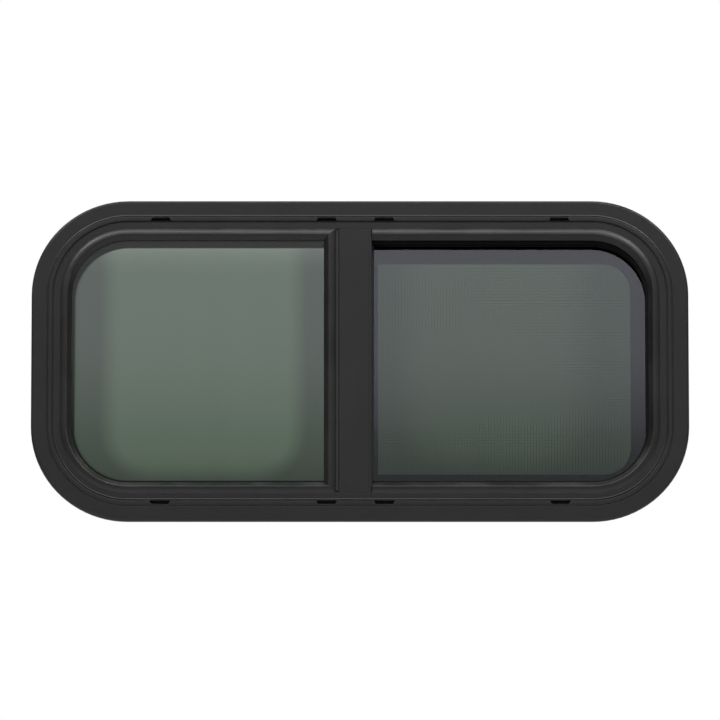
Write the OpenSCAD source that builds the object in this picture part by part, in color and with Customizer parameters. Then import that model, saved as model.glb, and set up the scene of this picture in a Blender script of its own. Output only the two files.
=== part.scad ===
// Caravan window with one fixed pane, one sliding pane and an insect screen.
// Everything is drawn lying on its back: x runs to the right, y up the window and
// z out of the wall. The last lines stand it up, so that the outside looks along -Y.
// The origin is the middle of the window on the wall's outer skin.

/* [Window] */
// Width over the outer flange
window_w = 800; // [640:10:1200]
// Height over the outer flange
window_h = 400; // [340:10:600]
// Radius of the flange's corners
corner_r = 118; // [100:1:150]
// Thickness of the wall that the window is clamped to
wall_t = 30; // [24:1:36]
// How far the flange laps over the wall round the cut-out
flange_lap = 19; // [16:0.5:20]

/* [Frame section] */
// Wall thickness of the bent extrusion
sheet_t = 1.5; // [1.2:0.1:2]
// Height of the frame's face above the wall
face_rise = 6.5; // [6:0.1:9]
// Width of the face, from the outer edge to the glazing bead
face_w = 35; // [34:0.5:42]
// Radius of the flange's rounded outer edge
edge_r = 3; // [2.2:0.1:4]
// Gap between the flange's lip and the wall
lip_gap = 1.2; // [0.8:0.1:2]
// Gap between the frame's body and the cut-out
body_gap = 1; // [0.5:0.1:2]
// Width of the raised rib
rib_w = 5.5; // [5:0.1:6]
// Height of the rib above the face
rib_rise = 0.5; // [0.3:0.1:0.9]
// Radius along the rib's edges
rib_r = 1; // [0.5:0.1:1.5]
// Depth of the solid root under the rib and its grooves
root_t = 3.2; // [3:0.1:4]
// Width of the groove outside the rib
outer_groove_w = 1; // [0.6:0.1:1.5]
// Depth of the groove outside the rib
outer_groove_d = 0.8; // [0.5:0.1:1.5]
// Width of the groove inside the rib
inner_groove_w = 1.6; // [1:0.1:2]
// Depth of the groove inside the rib
inner_groove_d = 1.6; // [1:0.1:2]
// Width of the sponge seal behind the flange
seal_w = 14; // [8:0.5:16]
// Width and depth of the hairline where the bent extrusion's two ends meet
joint_w = 0.3; // [0.2:0.05:0.5]
// Height of that joint above the middle of the window, on the left side
joint_y = 2; // [-20:0.5:20]

/* [Weep slots] */
// Length of a weep slot on its inner side
slot_l = 25; // [15:1:35]
// How much each end of a weep slot slants in towards its outer side
slot_slant = 2; // [0.5:0.1:3]
// Width of a weep slot
slot_w = 4.4; // [3:0.1:5]
// Distance of the outer weep slots from the middle
slot_x = 243; // [200:1:260]
// Half the distance between the two weep slots at the mullion
slot_pair_x = 35; // [25:1:60]

/* [Glazing bead] */
// Width of the glazing bead
bead_w = 14; // [12:0.5:16]
// Height of the bead's crest above the face
bead_rise = 2.5; // [2:0.1:4]
// Distance from the bead's outer edge to its crest
bead_crest = 7.5; // [6.5:0.1:8.5]
// Radius of the bead's crown
bead_r = 12; // [11:0.1:14]
// Radius of the nose where the crown turns down towards the pane
nose_r = 2; // [1.7:0.1:2.4]
// Depth below the face at which the bead's slope ends and its leg begins
slope_depth = 4; // [3:0.1:4.3]
// Wall thickness of the bead
bead_t = 1.6; // [1.2:0.1:1.7]

/* [Glass] */
// Thickness of both panes
glass_t = 4; // [3:0.5:5]
// Depth of the fixed pane below the face
glass_set = 5.5; // [5:0.1:6.5]
// Gap between a pane's edge and the bottom of its channel
glass_gap = 3.5; // [2.5:0.1:4]
// Thickness of the glazing tape behind the fixed pane
tape_t = 1; // [0.5:0.1:2]
// Width of the glazing tape
tape_w = 8; // [5:0.5:9]

/* [Channels] */
// How far the channel fins reach past the bead
fin_reach = 3; // [1:0.5:5]
// Gap between the fixed pane's fin and the sliding pane's front fin
mullion_room = 11; // [9:0.5:14]
// Space between the two fins of the sliding pane
slide_w = 6; // [5.5:0.1:8]
// Gap between the sliding pane's channel and the screen's channel
screen_room = 3.5; // [2:0.5:6]
// Space between the two fins of the screen
track_w = 8; // [7:0.1:10]
// Running clearance on each side of what slides
run_gap = 0.2; // [0.1:0.05:0.4]
// Thickness of the plastic lining at the bottom of the sliding pane's channel
liner_t = 1; // [0.6:0.1:1.5]
// Height of the plastic rail that the screen stands on
rail_h = 4.2; // [2:0.1:5]

/* [Mullion] */
// Place of the mullion plate's left edge, across the window
plate_x = -25.6; // [-60:0.1:0]
// Width of the mullion plate
plate_w = 40; // [36:0.5:60]
// Radius along the mullion plate's edges
plate_r = 0.7; // [0.4:0.1:1]
// Width of the plate's right-hand lip, beyond its fine groove
plate_lip = 3; // [2:0.1:5]
// Width and depth of that groove
plate_groove = 0.6; // [0.3:0.1:0.8]
// Width of the ledge between the plate and the glazing bead
ledge_w = 4.4; // [4:0.1:8]
// Width of the rubber strip on the ledge
strip_w = 3; // [2:0.1:3.8]
// Depth of the mullion behind the fixed pane's fin
mullion_back = 9.5; // [6:0.5:10]
// Width of the wiper beside the mullion
wiper_w = 2.8; // [1.5:0.1:4]
// Gap between the mullion's ends and the frame
end_gap = 0.3; // [0.2:0.1:1]

/* [Sliding pane] */
// Width of the stile on the sliding pane's leading edge
stile_w = 34; // [26:0.5:36]
// Wall thickness of the stile
stile_t = 1.5; // [1.2:0.1:2]
// Depth of the pull rib on the stile
pull_d = 8; // [4:0.5:9]
// Width of the brush seal on the stile
brush_w = 5; // [4:0.5:8]

/* [Latch] */
// Length of the latch's housing
latch_l = 64; // [48:1:90]
// Width of the latch's housing
latch_w = 15; // [12:0.5:16]
// Depth of the latch's housing
latch_d = 6; // [5:0.5:8]
// Length of the latch's lever
lever_l = 34; // [26:1:44]
// Radius of the lever's tip
lever_tip = 3.2; // [2.5:0.1:4]
// Width of the latch's tongue
tongue_w = 9; // [6:0.5:12]
// Thickness of the latch's tongue
tongue_t = 2; // [1.5:0.1:3]
// Width of the keeper on the mullion
keeper_w = 6; // [4:0.5:7]

/* [Insect screen] */
// Width of the screen frame's members
screen_w = 24; // [18:0.5:30]
// Thickness of the screen frame
screen_t = 6; // [5:0.5:7]
// Step along the screen frame's edges, front and back
screen_step = 0.8; // [0.4:0.1:1]
// Radius of the screen opening's right-hand corners
screen_r = 33; // [20:1:38]
// Radius of the screen frame's outer right-hand corners
screen_outer_r = 62; // [60:0.5:70]
// How far the screen's top edge reaches into its channel
screen_bite = 2.5; // [1:0.1:4]
// Thickness of the sheet that stands for the woven mesh
mesh_t = 0.5; // [0.3:0.1:1]
// Diameter of the rubber cord that holds the mesh
spline_d = 2.4; // [2:0.1:3]

/* [Clamp ring] */
// Distance of the clamp ring's edge inside the flange's edge
clamp_inset = 10.5; // [4:0.5:12]
// Thickness of the clamp ring
clamp_t = 1.6; // [1.2:0.1:2.5]
// Radius of the clamp ring's outer edge
clamp_r = 3; // [2.6:0.1:4]
// Depth of the stiffening lip on the clamp ring's inner edge
clamp_lip = 1.2; // [0.6:0.1:2]
// How far the clamp ring's inner edge stays behind the screen's fins
clamp_back = 2; // [1:0.5:6]

/* [Hidden] */
$fn = 72;
far = 1000;
// How far the bead's slope starts inside its nose, so that the two join
nose_bite = 0.05;

// Distances inwards from the flange's outer edge
body_s = flange_lap + body_gap;
rib_s = body_s;
groove_s = rib_s + rib_w;
root_s = groove_s + inner_groove_w + 0.8;
channel_s = face_w + 2.5;
wall_s = channel_s - sheet_t;
bead_s = face_w + bead_w;
fin_s = bead_s + fin_reach;
glass_s = channel_s + glass_gap;

// Heights above the wall's outer skin, in order from the outside to the inside
face_d = face_rise;
seat_d = face_d - sheet_t;
glass_d = face_d - glass_set;
tape_d = glass_d - glass_t;
fixed_fin_d = tape_d - tape_t;
mullion_d = fixed_fin_d - sheet_t;
front_fin_d = mullion_d - mullion_room;
slide_d = front_fin_d - sheet_t;
rear_fin_d = slide_d - slide_w;
screen_fin_d = rear_fin_d - sheet_t - screen_room;
track_d = screen_fin_d - sheet_t;
back_fin_d = track_d - track_w;
back_d = back_fin_d - sheet_t;

// Half sizes measured on the flat of the window
half_w = window_w / 2;
half_h = window_h / 2;

// Mullion, from left to right
plate_x1 = plate_x + plate_w;
ledge_x = plate_x - ledge_w;
post_x = ledge_x - 2.5;
mullion_fin_x = ledge_x - bead_w;
fixed_edge_x = post_x + sheet_t / 2 - glass_gap;
post_h = half_h - channel_s - end_gap;
lip_h = half_h - fin_s - end_gap;
post_back_d = mullion_d - mullion_back;

// Sliding pane
sash_x = plate_x + 1.6;
sash_glass_d = slide_d - (slide_w - glass_t) / 2;
stile_front_d = sash_glass_d + run_gap + stile_t;
stile_rear_d = sash_glass_d - glass_t - run_gap - stile_t;
sash_right = half_w - channel_s - liner_t - 2;
sash_top = half_h - channel_s - liner_t - 2;
sash_low = half_h - channel_s - liner_t - 0.3;
sash_r = corner_r - channel_s - liner_t - 2;

// Insect screen
screen_d = track_d - (track_w - screen_t) / 2;
screen_top = half_h - bead_s + screen_bite;
screen_low = half_h - channel_s - rail_h - 0.3;
screen_right = half_w - bead_s + screen_bite;
screen_left = sash_x + stile_w - 11.6;
spline_s = screen_w - spline_d - 2;

// Latch
latch_x = sash_x + stile_t + 1.5;
lever_d = stile_rear_d - latch_d;

// A rectangle in a section, from one corner to the other
module bar(s0, s1, d0, d1) {
    translate([s0, d0])
        square([s1 - s0, d1 - d0]);
}

// A bar with its two outer corners rounded
module crowned_bar(s0, s1, d0, d1, r) {
    bar(s0, s1, d0, d1 - r);
    bar(s0 + r, s1 - r, d0, d1);
    for (s = [s0 + r, s1 - r])
        translate([s, d1 - r])
            circle(r);
}

// A quarter of a bent sheet, from a vertical lip at s to a flat face at height d
module bent_edge(s, d, r, t) {
    intersection() {
        translate([s + r, d - r])
            difference() {
                circle(r);
                circle(r - t);
            }
        bar(s, s + r, d - r, d);
    }
}

// A section swept round the whole window, with distances taken from the flange's edge
module swept_ring() {
    for (a = [0, 90, 180, 270]) {
        across = (a % 180 == 0) ? half_h : half_w;
        along = (a % 180 == 0) ? half_w : half_h;
        rotate(a)
            translate([0, across, 0])
                rotate([90, 0, -90])
                    linear_extrude(2 * (along - corner_r), center = true)
                        children();
    }
    for (sx = [0, 1], sy = [0, 1])
        mirror([sx, 0, 0])
            mirror([0, sy, 0])
                translate([half_w - corner_r, half_h - corner_r, 0])
                    rotate_extrude(angle = 90)
                        translate([corner_r, 0])
                            mirror([1, 0])
                                children();
}

// The window's outline at a distance inside the flange's edge
module outline(s) {
    r = corner_r - s;
    w = window_w - 2 * s;
    h = window_h - 2 * s;
    square([w - 2 * r, h], center = true);
    square([w, h - 2 * r], center = true);
    for (x = [-1, 1], y = [-1, 1])
        translate([x * (w / 2 - r), y * (h / 2 - r)])
            circle(r);
}

// The fixed pane's part of that outline, cut off at x
module fixed_outline(s, x) {
    intersection() {
        outline(s);
        bar(-far, x, -far, far);
    }
}

// A plate with square left corners and rounded right corners
module d_plate(x0, x1, y0, y1, r) {
    bar(x0, x1 - r, y0, y1);
    bar(x0, x1, y0 + r, y1 - r);
    for (y = [y0 + r, y1 - r])
        translate([x1 - r, y])
            circle(r);
}

// A straight length up the window, from a section drawn in x and depth
module upright(y0, y1) {
    translate([0, y1, 0])
        rotate([90, 0, 0])
            linear_extrude(y1 - y0)
                children();
}

// A straight length across the top of the window, from a section of distances
module top_bar(x0, x1) {
    translate([x1, half_h, 0])
        rotate([90, 0, -90])
            linear_extrude(x1 - x0)
                children();
}

// A slab between two depths
module slab(d0, d1) {
    translate([0, 0, d0])
        linear_extrude(d1 - d0)
            children();
}

// The stand-up turn that every piece gets
module upstand() {
    rotate([90, 0, 0])
        children();
}

// The extrusion: a flange, a rib, two hollow chambers and five fins
module frame_section() {
    difference() {
        union() {
            bent_edge(0, face_d, edge_r, sheet_t);
            bar(0, sheet_t, lip_gap, face_d - edge_r);
            bar(edge_r, face_w, seat_d, face_d);
            bar(rib_s - outer_groove_w - 0.8, root_s, face_d - root_t, face_d);
            crowned_bar(rib_s, groove_s, seat_d, face_d + rib_rise, rib_r);
            bar(body_s, body_s + sheet_t, back_d, face_d - root_t);
            bar(wall_s, channel_s, back_d, seat_d);
            bar(face_w - sheet_t, channel_s, seat_d - sheet_t, seat_d);
            bar(body_s, fin_s, mullion_d, fixed_fin_d);
            bar(wall_s, fin_s, slide_d, front_fin_d);
            bar(wall_s, fin_s, rear_fin_d - sheet_t, rear_fin_d);
            bar(wall_s, bead_s, track_d, screen_fin_d);
            bar(body_s, bead_s, back_d, back_fin_d);
        }
        bar(rib_s - outer_groove_w, rib_s, face_d - outer_groove_d, far);
        bar(groove_s, groove_s + inner_groove_w, face_d - inner_groove_d, far);
    }
}

// A weep slot through the rib, at a place across the top, with slanted ends
module weep_slot(x) {
    inner = slot_l / 2;
    outer = inner - slot_slant;
    translate([x, half_h - rib_s - slot_w - 1, 0])
        slab(face_d - root_t - 1, far)
            polygon([[-inner, 0], [inner, 0], [outer, slot_w], [-outer, slot_w]]);
}

// The hairline across the flange where the two ends of the bent extrusion meet
module butt_joint() {
    groove_edge = -half_w + rib_s - outer_groove_w;
    slab(face_d - joint_w, far)
        bar(-far, groove_edge, joint_y - joint_w / 2, joint_y + joint_w / 2);
    slab(0, far)
        bar(-far, -half_w + joint_w, joint_y - joint_w / 2, joint_y + joint_w / 2);
}

module outer_frame() {
    mid = plate_x + plate_w / 2;
    color("dimgray")
        upstand()
            difference() {
                swept_ring()
                    frame_section();
                for (side = [0, 1], x = [-slot_x, mid - slot_pair_x, mid + slot_pair_x, slot_x])
                    mirror([0, side, 0])
                        weep_slot(x);
                butt_joint();
            }
}

// Sponge seal between the flange and the wall
module flange_seal() {
    color("black")
        upstand()
            swept_ring()
                bar(edge_r, edge_r + seal_w, 0, seat_d);
}

module fixed_glass() {
    color("darkslategray", 0.6)
        upstand()
            slab(tape_d, glass_d)
                fixed_outline(glass_s, fixed_edge_x);
}

module fixed_glass_tape() {
    color("black")
        upstand()
            slab(fixed_fin_d, tape_d)
                difference() {
                    fixed_outline(fin_s - 1 - tape_w, mullion_fin_x + 1 + tape_w);
                    fixed_outline(fin_s - 1, mullion_fin_x + 1);
                }
}

// The bead's crown rises to its crest, rolls over a nose and slopes down to a leg that
// stands at foot_d
module bead_section(foot_d) {
    crest_s = face_w + bead_crest;
    crest_d = face_d + bead_rise;
    nose_d = crest_d - nose_r;
    leg_d = face_d - slope_depth;
    reach = norm([bead_s - crest_s, leg_d - nose_d]);
    lean = atan2(leg_d - nose_d, bead_s - crest_s) + acos(nose_r / reach);
    out = [cos(lean), sin(lean)];
    nose = [crest_s, nose_d];
    intersection() {
        translate([crest_s, crest_d - bead_r])
            difference() {
                circle(bead_r);
                circle(bead_r - bead_t);
            }
        bar(face_w, crest_s, seat_d, far);
    }
    translate(nose)
        circle(nose_r);
    polygon([nose + (nose_r - nose_bite) * out, [bead_s, leg_d], [bead_s, foot_d],
        [bead_s - bead_t, foot_d], [bead_s - bead_t, leg_d - bead_t * tan(lean / 2)], nose]);
}

// The clip leg that holds the bead in the frame's channel
module bead_clip() {
    clip_s = channel_s + 0.2 + bead_t;
    bar(clip_s - bead_t, clip_s, fixed_fin_d, seat_d + 1);
    bar(face_w, clip_s, seat_d, seat_d + 1);
}

// The glazing bead round the fixed pane, mitred where it meets the mullion's bead
module fixed_side_bead() {
    outer_y = half_h - face_w;
    inner_y = half_h - bead_s;
    inner_x = ledge_x - bead_w;
    color("dimgray")
        upstand()
            intersection() {
                swept_ring() {
                    bead_section(glass_d);
                    bead_clip();
                }
                slab(-far, far)
                    polygon([[-far, -far], [ledge_x, -far], [ledge_x, -outer_y], [inner_x, -inner_y],
                        [inner_x, inner_y], [ledge_x, outer_y], [ledge_x, far], [-far, far]]);
            }
}

// The upright bead beside the mullion, mitred at both ends
module mullion_bead() {
    outer_y = half_h - face_w;
    inner_y = half_h - bead_s;
    inner_x = ledge_x - bead_w;
    color("dimgray")
        upstand()
            intersection() {
                translate([ledge_x + face_w, 0, 0])
                    mirror([1, 0, 0]) {
                        upright(-outer_y, outer_y)
                            bead_section(glass_d);
                        upright(-outer_y, outer_y)
                            bead_clip();
                    }
                slab(-far, far)
                    polygon([[ledge_x, -outer_y], [inner_x, -inner_y], [inner_x, inner_y], [ledge_x, outer_y]]);
            }
}

// The bead round the sliding pane's half, which ends against the mullion
module sliding_side_bead() {
    color("dimgray")
        upstand()
            intersection() {
                swept_ring() {
                    bead_section(fixed_fin_d);
                    bead_clip();
                }
                slab(-far, far)
                    bar(plate_x1 + end_gap, far, -far, far);
            }
}

// The mullion: a hollow post with a front plate that laps onto the frame at both ends
module mullion_post() {
    lip_x = plate_x1 - plate_lip;
    color("dimgray")
        upstand() {
            upright(-(half_h - face_w - end_gap), half_h - face_w - end_gap)
                difference() {
                    crowned_bar(plate_x, plate_x1, seat_d, face_d, plate_r);
                    bar(lip_x - plate_groove, lip_x, face_d - plate_groove, far);
                }
            upright(-post_h, post_h)
                difference() {
                    bar(post_x, plate_x1, fixed_fin_d, seat_d);
                    bar(post_x + sheet_t, plate_x1 - sheet_t, fixed_fin_d - 1, seat_d - sheet_t);
                }
            upright(-lip_h, lip_h) {
                difference() {
                    bar(post_x, plate_x1, post_back_d, fixed_fin_d);
                    bar(post_x + sheet_t, plate_x1 - sheet_t, post_back_d + sheet_t, fixed_fin_d + 1);
                }
                bar(mullion_fin_x, post_x, mullion_d, fixed_fin_d);
            }
        }
}

// Rubber strip that fills the ledge between the plate and the bead
module mullion_strip() {
    strip_x = ledge_x + (ledge_w - strip_w) / 2;
    color("dimgray")
        upstand()
            upright(-post_h, post_h)
                crowned_bar(strip_x, strip_x + strip_w, seat_d, face_d, 0.5);
}

// Wiper on the mullion's side, which sweeps the sliding pane
module mullion_seal() {
    color("black")
        upstand()
            upright(-lip_h, lip_h) {
                bar(plate_x1, plate_x1 + wiper_w, sash_glass_d + 0.3, post_back_d + 4);
                bar(plate_x1, plate_x1 + 1.2, post_back_d + 4, post_back_d + 7);
            }
}

// A block that fills the frame's channel over one end of the mullion
module end_block() {
    top_bar(post_x + 2, plate_x1 - 2)
        bar(channel_s, fin_s, front_fin_d, mullion_d);
}

module mullion_top_block() {
    color("black")
        upstand()
            end_block();
}

module mullion_bottom_block() {
    color("black")
        upstand()
            mirror([0, 1, 0])
                end_block();
}

// The U-shaped lining of the sliding pane's channel
module liner_section() {
    rear = rear_fin_d;
    wall = (slide_w - glass_t) / 2 - run_gap;
    bar(channel_s, channel_s + liner_t, rear, slide_d);
    bar(channel_s, fin_s - 1, rear, rear + wall);
    bar(channel_s, fin_s - 1, slide_d - wall, slide_d);
}

module top_runner() {
    color("black")
        upstand()
            top_bar(-(half_w - corner_r), half_w - corner_r)
                liner_section();
}

module bottom_runner() {
    color("black")
        upstand()
            mirror([0, 1, 0])
                top_bar(-(half_w - corner_r), half_w - corner_r)
                    liner_section();
}

// The lining round the right-hand end of the channel
module side_runner() {
    color("black")
        upstand()
            intersection() {
                swept_ring()
                    liner_section();
                slab(-far, far)
                    bar(half_w - corner_r, far, -far, far);
            }
}

// Rubber stop that the stile meets when the sliding pane is open
module sash_bumper() {
    bumper_l = 40;
    color("black")
        upstand()
            upright(-bumper_l / 2, bumper_l / 2)
                translate([-half_w, 0])
                    bar(channel_s, fin_s - 3, rear_fin_d, slide_d);
}

module sliding_glass() {
    color("darkslategray", 0.6)
        upstand()
            slab(sash_glass_d - glass_t, sash_glass_d)
                d_plate(sash_x + stile_t + 0.5, sash_right, -sash_low, sash_top, sash_r);
}

// The stile grips the pane's leading edge, with a pull rib that the tongue passes through
module sash_stile() {
    slot_h = tongue_w / 2 + 1.5;
    color("dimgray")
        upstand()
            difference() {
                upright(-lip_h, lip_h) {
                    bar(sash_x, sash_x + stile_t, stile_rear_d - pull_d, stile_front_d);
                    bar(sash_x, sash_x + stile_w - 14, stile_front_d - stile_t, stile_front_d);
                    bar(sash_x, sash_x + stile_w, stile_rear_d, stile_rear_d + stile_t);
                    bar(sash_x - 2.5, sash_x, stile_rear_d - pull_d, stile_rear_d - pull_d + stile_t);
                }
                slab(-far, stile_rear_d)
                    bar(-far, sash_x + stile_t, -slot_h, slot_h);
            }
}

// Brush seal between the stile and the back of the mullion
module stile_seal() {
    color("black")
        upstand()
            upright(-lip_h, lip_h)
                translate([sash_x + 8, 0])
                    bar(0, brush_w, stile_front_d, post_back_d - 0.3);
}

// Latch housing on the stile, with rounded ends
module latch_body() {
    r = latch_w / 2;
    color("black")
        upstand()
            translate([latch_x + r, 0, 0])
                slab(lever_d, stile_rear_d) {
                    square([latch_w, latch_l - latch_w], center = true);
                    for (e = [-1, 1])
                        translate([0, e * (latch_l / 2 - r)])
                            circle(r);
                }
}

// Turning lever with its round boss and the tongue that reaches the keeper
module latch_lever() {
    r = latch_w / 2 - 1;
    grip_r = r - 2;
    tip_y = r + lever_tip - lever_l;
    pivot_x = latch_x + latch_w / 2;
    color("black")
        upstand()
            translate([pivot_x, 0, 0]) {
                slab(lever_d - tongue_t, lever_d) {
                    circle(r);
                    bar(post_x + 0.5 - pivot_x, 0, -tongue_w / 2, tongue_w / 2);
                }
                slab(lever_d - tongue_t - 5, lever_d - tongue_t) {
                    circle(grip_r);
                    polygon([[-grip_r, 0], [grip_r, 0], [lever_tip, tip_y], [-lever_tip, tip_y]]);
                    translate([0, tip_y])
                        circle(lever_tip);
                }
            }
}

// Keeper on the back of the mullion, which the tongue hooks over
module latch_keeper() {
    color("black")
        upstand()
            translate([post_x, -tongue_w, 0])
                slab(lever_d + 0.3, post_back_d)
                    square([keeper_w, 2 * tongue_w]);
}

// Plastic rail that the screen stands on, in the bottom of its channel
module screen_rail() {
    color("black")
        upstand()
            mirror([0, 1, 0])
                top_bar(plate_x1, half_w - corner_r)
                    bar(channel_s, channel_s + rail_h, back_fin_d, track_d);
}

// The screen's outline, drawn in by a distance, with its own right-hand corner radius
module screen_plate(inset, r) {
    d_plate(screen_left + inset, screen_right - inset, -screen_low + inset, screen_top - inset, r);
}

// The flat band of the screen frame, drawn in from both of its edges
module screen_band(edge) {
    difference() {
        screen_plate(edge, screen_outer_r - edge);
        screen_plate(screen_w - edge, screen_r + edge);
    }
}

// Screen frame with a groove for the cord that holds the mesh
module screen_frame() {
    color("dimgray")
        upstand()
            difference() {
                union() {
                    slab(screen_d - screen_t + screen_step, screen_d - screen_step)
                        screen_band(0);
                    slab(screen_d - screen_t, screen_d)
                        screen_band(screen_step);
                }
                slab(screen_d - screen_t - 1, screen_d - screen_t + spline_d)
                    difference() {
                        screen_plate(spline_s - 0.3, screen_r + 4);
                        screen_plate(spline_s + spline_d + 0.3, screen_r + 1);
                    }
            }
}

// The woven mesh, as a thin sheet held inside the frame's opening
module screen_mesh() {
    color("darkgray", 0.5)
        upstand()
            slab(screen_d - screen_t / 2 - mesh_t / 2, screen_d - screen_t / 2 + mesh_t / 2)
                screen_plate(screen_w + 0.1, screen_r);
}

// The cord that is pressed into the groove over the mesh's edge
module screen_spline() {
    color("black")
        upstand()
            slab(screen_d - screen_t, screen_d - screen_t + spline_d)
                difference() {
                    screen_plate(spline_s, screen_r + 4);
                    screen_plate(spline_s + spline_d, screen_r + 1);
                }
}

// Finger pull on the screen's left-hand member
module screen_pull() {
    color("black")
        upstand()
            translate([screen_left + 5, -20, 0])
                slab(screen_d - screen_t - 7, screen_d - screen_t)
                    square([8, 40]);
}

// Clamp ring that presses on the inner skin and covers the frame's back
module clamp_ring() {
    clamp_s = clamp_inset;
    inner_s = bead_s - clamp_back;
    color("dimgray")
        upstand()
            mirror([0, 0, 1])
                swept_ring() {
                    bent_edge(clamp_s, clamp_t - back_d, clamp_r, clamp_t);
                    bar(clamp_s, clamp_s + clamp_t, wall_t, clamp_t - back_d - clamp_r);
                    bar(clamp_s + clamp_r, inner_s, -back_d, clamp_t - back_d);
                    bar(inner_s - clamp_t, inner_s, -back_d, clamp_t - back_d + clamp_lip);
                }
}

outer_frame();
flange_seal();
fixed_glass();
fixed_glass_tape();
fixed_side_bead();
mullion_bead();
sliding_side_bead();
mullion_post();
mullion_strip();
mullion_seal();
mullion_top_block();
mullion_bottom_block();
top_runner();
bottom_runner();
side_runner();
sash_bumper();
sliding_glass();
sash_stile();
stile_seal();
latch_body();
latch_lever();
latch_keeper();
screen_rail();
screen_frame();
screen_mesh();
screen_spline();
screen_pull();
clamp_ring();
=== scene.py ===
# %% [markdown]
# # A caravan window, dressed for its picture
# The window is a bent aluminium extrusion with a fixed pane, a sliding pane and an insect screen.
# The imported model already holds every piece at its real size, so this lesson only adds what makes
# the pieces look real: the camera and the light, the finishes, the woven mesh, the small screws and
# the fine lips beside the grooves.

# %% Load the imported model
import math

import bmesh
import bpy
from mathutils import Matrix, Vector


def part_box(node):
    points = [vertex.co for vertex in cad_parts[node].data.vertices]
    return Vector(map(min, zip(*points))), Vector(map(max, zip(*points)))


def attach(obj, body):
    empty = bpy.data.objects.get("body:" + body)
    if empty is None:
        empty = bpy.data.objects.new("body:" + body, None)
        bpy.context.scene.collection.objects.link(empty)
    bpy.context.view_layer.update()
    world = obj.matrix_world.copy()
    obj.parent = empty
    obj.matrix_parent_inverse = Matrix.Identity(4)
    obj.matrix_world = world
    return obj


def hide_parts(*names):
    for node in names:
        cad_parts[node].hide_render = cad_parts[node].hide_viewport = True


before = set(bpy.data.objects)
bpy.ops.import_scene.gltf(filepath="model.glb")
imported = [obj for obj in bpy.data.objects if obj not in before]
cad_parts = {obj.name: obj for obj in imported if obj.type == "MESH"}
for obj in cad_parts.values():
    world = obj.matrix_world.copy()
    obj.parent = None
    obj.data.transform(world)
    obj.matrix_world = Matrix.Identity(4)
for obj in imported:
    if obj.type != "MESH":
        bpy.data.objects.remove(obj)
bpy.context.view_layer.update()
MM = 0.001
scene = bpy.context.scene
print("pieces in the model:", len(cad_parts))

# %% [markdown]
# ## Sizes
# The frame's own box gives the width and height. Only the corner radius can't be read from a box,
# so it is written here, as the extrusion's bender would set it.

# %% Driving sizes
FRAME_LOW, FRAME_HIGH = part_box("outer_frame")
HALF_W = FRAME_HIGH[0]
HALF_H = FRAME_HIGH[2]
CORNER_R = 118 * MM
print("half width and half height:", HALF_W, HALF_H)

# %% [markdown]
# ## Camera
# The window was photographed square on, from a little below its middle and from far away, so the
# upright edges stay parallel and the undersides show. A long lens far off gives that look. A short
# lens close by would bend the frame and show too much of the channel's depth.

# %% Make the camera
VIEW_RISE = math.radians(-13)
VIEW_DISTANCE = 14.0
SENSOR, LENS = 36, 575.2
SIGHT_END = 60
AIM = Vector((0, 0, 2 * MM))
camera = bpy.data.objects.new("camera", bpy.data.cameras.new("camera"))
scene.collection.objects.link(camera)
camera.data.sensor_width = SENSOR
camera.data.lens = LENS
camera.data.clip_end = SIGHT_END
away = Vector((0, -math.cos(VIEW_RISE), math.sin(VIEW_RISE)))
camera.location = AIM + VIEW_DISTANCE * away
camera.rotation_euler = (-away).to_track_quat("-Z", "Y").to_euler()
scene.camera = camera
scene.view_settings.view_transform = "Standard"
print("camera at", [round(v, 3) for v in camera.location])

# %% [markdown]
# ## Building shader trees
# A finish is a small network of nodes. It could be wired by hand in the Shader Editor, but a script
# can be read, changed and run again. A few helpers keep the cells short: one places a node and fills
# its sockets, one does arithmetic, one carries a value from one range to another, and one mixes two
# colours. A value that is itself a socket is linked, and anything else is typed in.


# %% Helpers for nodes
def put(tree, kind, settings=(), inputs=()):
    """Place a node, set its options, then fill or link its inputs."""
    node = tree.nodes.new(kind)
    for name, value in dict(settings).items():
        setattr(node, name, value)
    for name, value in dict(inputs).items():
        if isinstance(value, bpy.types.NodeSocket):
            tree.links.new(value, node.inputs[name])
        else:
            node.inputs[name].default_value = value
    return node


def calc(tree, operation, *values):
    """Arithmetic on numbers and sockets."""
    return put(tree, "ShaderNodeMath", {"operation": operation}, enumerate(values)).outputs[0]


def spread(tree, value, start, end, low=0.0, high=1.0):
    """Carry a value from the range start to end over to low to high, and stop at both."""
    sockets = {"Value": value, "From Min": start, "From Max": end, "To Min": low, "To Max": high}
    return put(tree, "ShaderNodeMapRange", {"clamp": True}, sockets).outputs[0]


def tint(tree, factor, first, second):
    """Mix two colours by a factor."""
    mix = put(tree, "ShaderNodeMix", {"data_type": "RGBA"}, {0: factor, 6: first, 7: second})
    return mix.outputs[2]


def grey(value, blue=1.0):
    """A neutral colour, a little cooler where blue is over 1."""
    return (value, value, value * blue, 1.0)


def object_spot(tree):
    """The x, y and z of the shaded spot, from Object coordinates."""
    spot = put(tree, "ShaderNodeTexCoord").outputs["Object"]
    return put(tree, "ShaderNodeSeparateXYZ", inputs={0: spot}).outputs


def noise(tree, scale, detail, **inputs):
    """The grey level of a noise texture, in space or along one line."""
    along = {"noise_dimensions": "1D"} if "W" in inputs else {}
    sockets = {**inputs, "Scale": scale, "Detail": detail}
    return put(tree, "ShaderNodeTexNoise", along, sockets).outputs["Fac"]


print("helpers ready")

# %% [markdown]
# ## World
# A photograph on white has light from everywhere. The camera sees plain white. The light that falls
# on the window is dimmer, a little stronger from above than from below, and what mirrored rays see is
# set by itself: darker at the sides, where the rounded parts turn away, and darker behind. A picture
# of a studio would do too, but these few nodes are easier to steer.

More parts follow.
